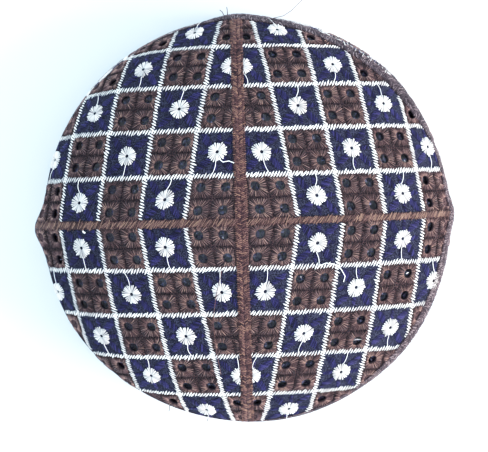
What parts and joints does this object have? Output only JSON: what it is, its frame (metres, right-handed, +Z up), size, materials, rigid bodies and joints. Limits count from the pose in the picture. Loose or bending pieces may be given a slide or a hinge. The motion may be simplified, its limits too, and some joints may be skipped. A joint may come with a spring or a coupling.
{
  "type": "prayer cap",
  "caption": "Round embroidered skullcap of four crown gores with eyelets, on an upright side wall with a bound rim.",
  "frame": {"origin": "centre of the rim's flat underside", "axes": "+Z up through the crown, +Y to the back along the long crown seam, +X to the right along the side seams"},
  "size_m": [0.1808, 0.1763, 0.0813],
  "materials": {
    "embroidered_cotton": "navy and brown satin stitch on cotton",
    "brown_braid": "brown satin stitch"
  },
  "bodies": {
    "root": {"crown_gore_back_right": "embroidered_cotton", "crown_gore_back_left": "embroidered_cotton", "crown_gore_front_right": "embroidered_cotton", "crown_gore_front_left": "embroidered_cotton", "seam_band_long": "brown_braid", "seam_band_right": "brown_braid", "seam_band_left": "brown_braid", "crown_edge_band": "brown_braid", "side_wall": "embroidered_cotton", "rim_binding": "brown_braid"}
  },
  "joints": []
}
